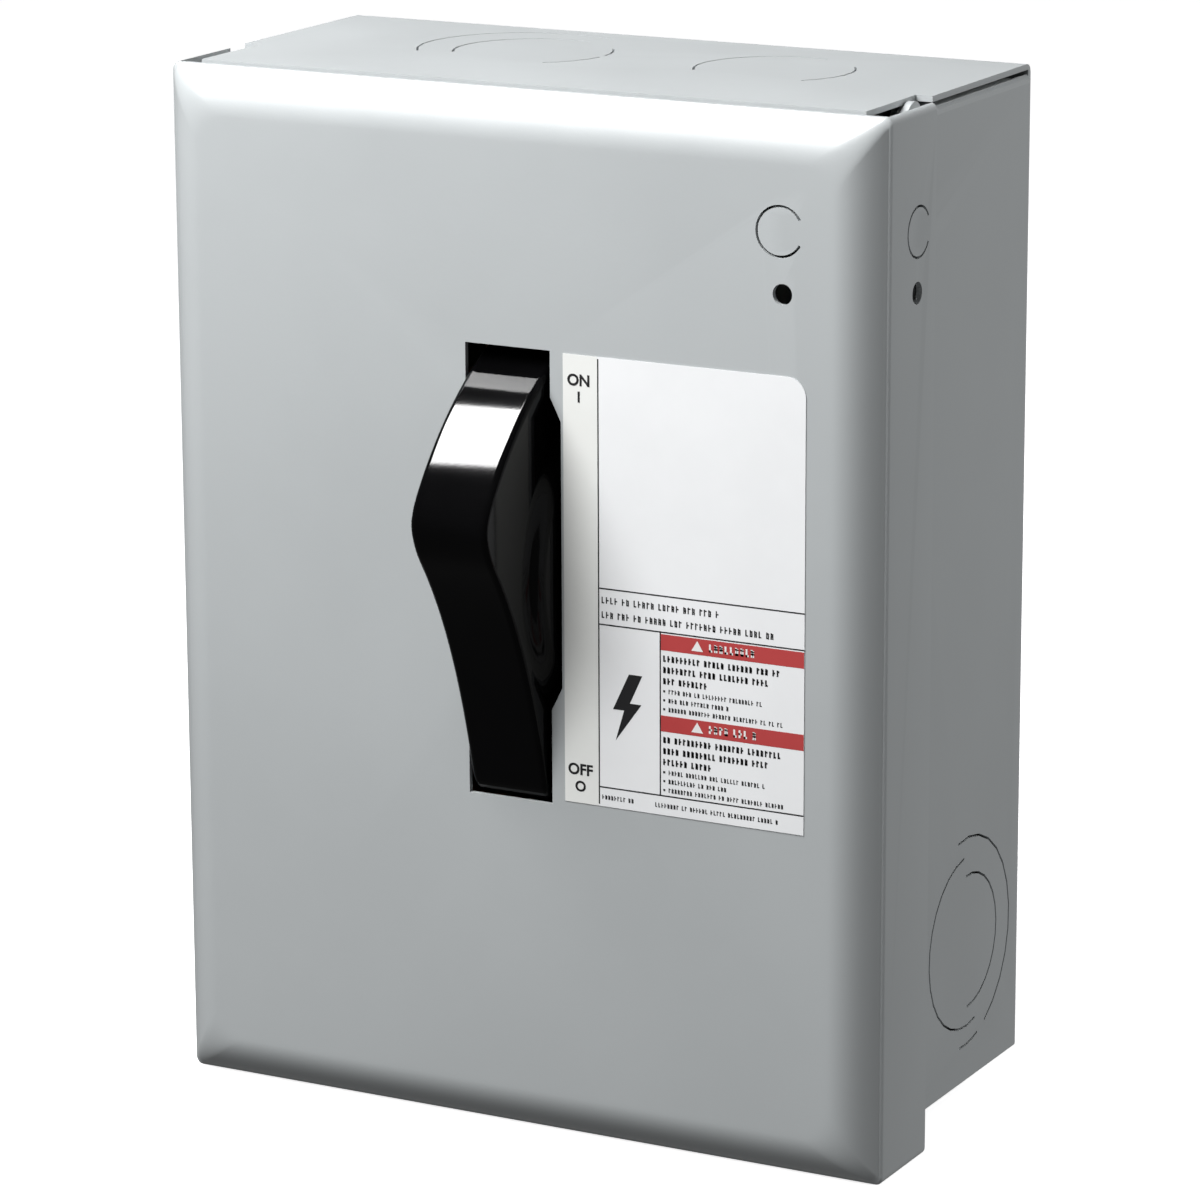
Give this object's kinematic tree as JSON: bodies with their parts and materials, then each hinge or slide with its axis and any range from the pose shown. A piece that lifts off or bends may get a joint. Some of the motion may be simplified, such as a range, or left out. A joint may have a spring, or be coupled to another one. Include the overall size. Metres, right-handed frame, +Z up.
{
  "type": "ac disconnect box",
  "caption": "Wall-mounted fusible AC disconnect box with a lift-up steel cover, black rocker handle, rotary switch blades, fuses, lugs and conduit knockouts.",
  "frame": {"origin": "centre of the enclosure's back face, on the wall", "axes": "+X to the right seen from the front, +Y into the wall, +Z up; the cover and handle face -Y"},
  "size_m": [0.162, 0.1038, 0.217],
  "materials": {
    "painted_steel": "semi-gloss grey enamel",
    "handle_plastic": "glossy black",
    "label_vinyl": "satin white print",
    "base_plastic": "moulded phenolic",
    "rotor_plastic": "moulded",
    "shield_fibre": "pressed fibre sheet",
    "zinc_steel": "zinc plated",
    "copper": "bare copper, satin",
    "aluminium": "machined",
    "fuse_fibre": "varnished fibre tube"
  },
  "bodies": {
    "enclosure": {"enclosure_body": "painted_steel", "hinge_pin_left": "zinc_steel", "hinge_pin_right": "zinc_steel", "switch_base": "base_plastic", "base_screw_1": "zinc_steel", "base_screw_2": "zinc_steel", "mechanism_frame_left": "zinc_steel", "mechanism_frame_right": "zinc_steel", "rotor_bearing_left": "base_plastic", "rotor_bearing_right": "base_plastic", "toggle_spring": "zinc_steel", "line_shield": "shield_fibre", "neutral_insulator": "base_plastic", "neutral_bar": "aluminium", "neutral_screw_1": "zinc_steel", "neutral_screw_2": "zinc_steel", "ground_lug": "aluminium", "ground_screw": "copper", "cover_catch_spring": "zinc_steel", "line_jaw_1": "copper", "load_jaw_1": "copper", "line_lug_1": "aluminium", "line_lug_1_screw": "zinc_steel", "fuse_clip_upper_1": "copper", "fuse_clip_lower_1": "copper", "load_strap_1": "copper", "load_lug_1": "aluminium", "load_lug_1_screw": "zinc_steel", "fuse_tube_1": "fuse_fibre", "fuse_ferrule_lower_1": "copper", "fuse_ferrule_upper_1": "copper", "line_jaw_2": "copper", "load_jaw_2": "copper", "line_lug_2": "aluminium", "line_lug_2_screw": "zinc_steel", "fuse_clip_upper_2": "copper", "fuse_clip_lower_2": "copper", "load_strap_2": "copper", "load_lug_2": "aluminium", "load_lug_2_screw": "zinc_steel", "fuse_tube_2": "fuse_fibre", "fuse_ferrule_lower_2": "copper", "fuse_ferrule_upper_2": "copper"},
    "cover": {"front_cover": "painted_steel", "cover_label": "label_vinyl", "cover_hinge_arm_left": "zinc_steel", "cover_hinge_arm_right": "zinc_steel"},
    "handle": {"operating_handle": "handle_plastic", "handle_shaft": "zinc_steel", "handle_crank": "zinc_steel", "link_pin_front": "zinc_steel"},
    "rotor": {"rotor_bar": "rotor_plastic", "rotor_crank": "zinc_steel", "moving_blade_1": "copper", "moving_blade_2": "copper", "link_pin_rear": "zinc_steel"},
    "link": {"drive_link": "zinc_steel"}
  },
  "joints": [
    {"name": "cover_hinge", "type": "hinge", "parent": "enclosure", "child": "cover", "pos_m": [0, -0.0526, 0.10055], "axis": [-1, 0, 0], "range_deg": [0, 105]},
    {"name": "handle_pivot", "type": "hinge", "parent": "enclosure", "child": "handle", "pos_m": [0, -0.0526, 0.0062], "axis": [1, 0, 0], "range_deg": [0, 48]},
    {"name": "rotor_pivot", "type": "hinge", "parent": "enclosure", "child": "rotor", "pos_m": [0, -0.0326, 0.0062], "axis": [1, 0, 0], "range_deg": [0, 48]},
    {"name": "link_pivot", "type": "hinge", "parent": "handle", "child": "link", "pos_m": [0.0178, -0.04772, 0.01716], "axis": [1, 0, 0], "range_deg": [-48, 0]}
  ],
  "couplings": [
    {"joint": "rotor_pivot", "follows": "handle_pivot", "ratio": 1},
    {"joint": "link_pivot", "follows": "handle_pivot", "ratio": -1}
  ]
}
